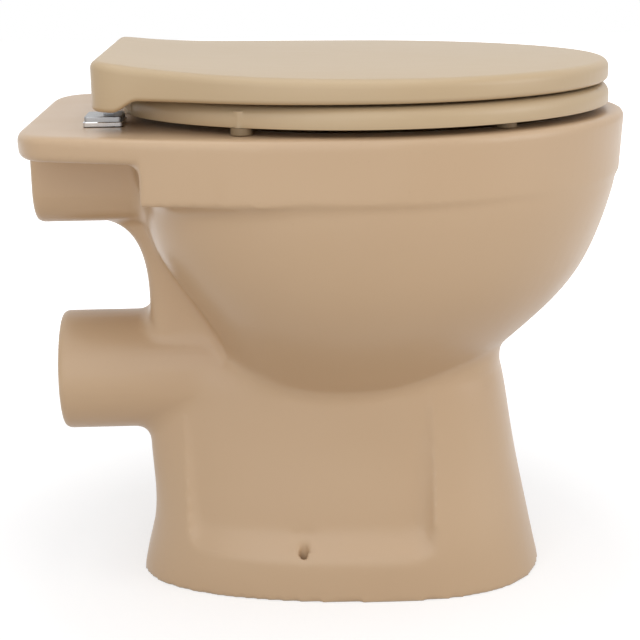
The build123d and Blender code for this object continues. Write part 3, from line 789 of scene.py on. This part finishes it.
def near_hole(place):
    """True for points nearer the hole than the outer edge."""
    x, y = abs(place.x) / MM, place.y / MM
    reach = hole_back if y > widest else -hole_front
    along = reach + (widest if y < widest else -widest) + hole_margin
    return (x / (hole_half + hole_margin)) ** 2 + ((y - widest) / along) ** 2 < hole_limit


round_off(ring, rim_edges(ring, ring_top, near_hole, False), 9.0 * MM, 8)
round_off(ring, rim_edges(ring, ring_top, near_hole), 6.0 * MM, 6)
round_off(ring, rim_edges(ring, seat_under * MM), 0.8 * MM, 2)
hollow_below(ring, seat_under * MM, 8.5 * MM, 10.0 * MM)
steps = []
for side in (-1, 1):
    x = side * abs(bush_centre.x)
    arm = [
        (ring_back - arm_reach, seat_under + 1.5), (ring_back - 8, arm_low_z), (pin_y - 2.3, pin_z - 6.8),
        (pin_y - 5.3, pin_z + 5.3), (ring_back - arm_reach, seat_under + ring_thickness - 1),
    ]
    steps.append(("UNION", plate_tool(arm, x, knuckle_width)))
    steps.append(("UNION", rod_tool((x, pin_y, pin_z), knuckle_radius, knuckle_width, "X")))
    steps.append(("DIFFERENCE", rod_tool((x, pin_y, pin_z), bush_radius, knuckle_width + bore_over, "X")))
for name in nodes:
    if name.startswith("seat_buffer"):
        place = centre_and_size(name)[0]
        boss = rod_tool((place.x, place.y, seat_under + 6.1), boss_radius, boss_height, "Z")
        steps.append(("UNION", boss))
ring = combined("seat", ring, steps)
seat = finished("seat_ring", ring, resin, "seat", ["seat"], 35)

# %% [markdown]
# ## The lid
# The lid is a shallow shell. Its top is level for most of its length and sweeps up towards the
# hinges, its upper edge is rounded and its lower edge is drawn in a little, so that a hand can lift
# it. At the back the two corners reach down past the ring. The shell starts as one slab; cutting it
# at close stations along its length gives the top points to bend with.

# %% Lid
lid_low, lid_high = (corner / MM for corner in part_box("lid"))
lid_edge = seat_under + ring_thickness + 2.0
lid_thickness = 17.5
lid_shell = 5.0
sweep = 12.5
ear_drop = 9.0
ear_inner = 95.0
ear_from, ear_run = 148, 20
window_inner, window_depth, window_over, window_above_pin = 61.8, 9, 2, 8.7
block_ahead, block_behind, block_top = 11, 5.5, 448.5
lid_boss_radius, lid_boss_height = 8.6, 13
lid_half, lid_front, lid_back = lid_high.x, lid_low.y, lid_high.y
lid_arcs = [
    [(108, lid_back), (124.9, lid_back), (129.32, 173.6), (134, 158)],
    [(134, 158), (152, 98), (lid_half, 75), (lid_half, widest)],
    [(lid_half, widest), (lid_half, -132.6), (lid_half * 0.53, lid_front), (0, lid_front)],
]
shell = bmesh.new()
outline(shell, lid_edge * MM, lid_arcs, (12, 30, 40))
slab(shell, lid_edge * MM, lid_thickness * MM)
round_off(shell, rim_edges(shell, (lid_edge + lid_thickness) * MM), 7.0 * MM, 7)
round_off(shell, rim_edges(shell, lid_edge * MM), 4.0 * MM, 5)
hollow_below(shell, lid_edge * MM, 1.8 * MM, (lid_thickness - lid_shell) * MM)
for y in range(60, 184, 4):
    cut_through(shell, (0, y * MM, 0), (0, 1, 0))
for x in (-ear_inner - 1, -ear_inner, ear_inner, ear_inner + 1):
    cut_through(shell, (x * MM, 0, 0), (1, 0, 0))
crest = interpolate_bezier(
    Vector((-229, -0.3, 0)), Vector((0, 0, 0)), Vector((120, 0, 0)), Vector((185, sweep, 0)), 120,
)
crest_y, crest_z = [p.x for p in crest], [p.y for p in crest]
for vert in shell.verts:
    y = vert.co.y / MM
    if vert.co.z > (lid_edge + lid_thickness / 2) * MM:
        vert.co.z += float(np.interp(y, crest_y, crest_z)) * MM
    elif abs(vert.co.x) > (ear_inner + 0.5) * MM:
        way = min(1.0, max(0.0, (y - ear_from) / ear_run))
        vert.co.z -= ear_drop * way * way * (3 - 2 * way) * MM
steps = []
for side in (-1, 1):
    x = side * abs(lid_bush_centre.x)
    low_x, high_x = sorted((side * window_inner, side * ear_inner))
    window_low = (low_x, lid_back - window_depth, lid_edge - 20)
    window_high = (high_x, lid_back + window_over, pin_z + window_above_pin)
    steps.append(("DIFFERENCE", box_tool(window_low, window_high)))
    block_low = (x - knuckle_width / 2, pin_y - block_ahead, pin_z)
    block_high = (x + knuckle_width / 2, pin_y + block_behind, block_top)
    steps.append(("UNION", box_tool(block_low, block_high)))
    steps.append(("UNION", rod_tool((x, pin_y, pin_z), knuckle_radius, knuckle_width, "X")))
    steps.append(("DIFFERENCE", rod_tool((x, pin_y, pin_z), bush_radius, knuckle_width + bore_over, "X")))
for name in nodes:
    if name.startswith("lid_buffer"):
        place = centre_and_size(name)[0]
        boss = rod_tool((place.x, place.y, lid_edge + 7.5), lid_boss_radius, lid_boss_height, "Z")
        steps.append(("UNION", boss))
shell = combined("lid", shell, steps)
lid = finished("lid_shell", shell, resin, "lid", ["lid"], 35)
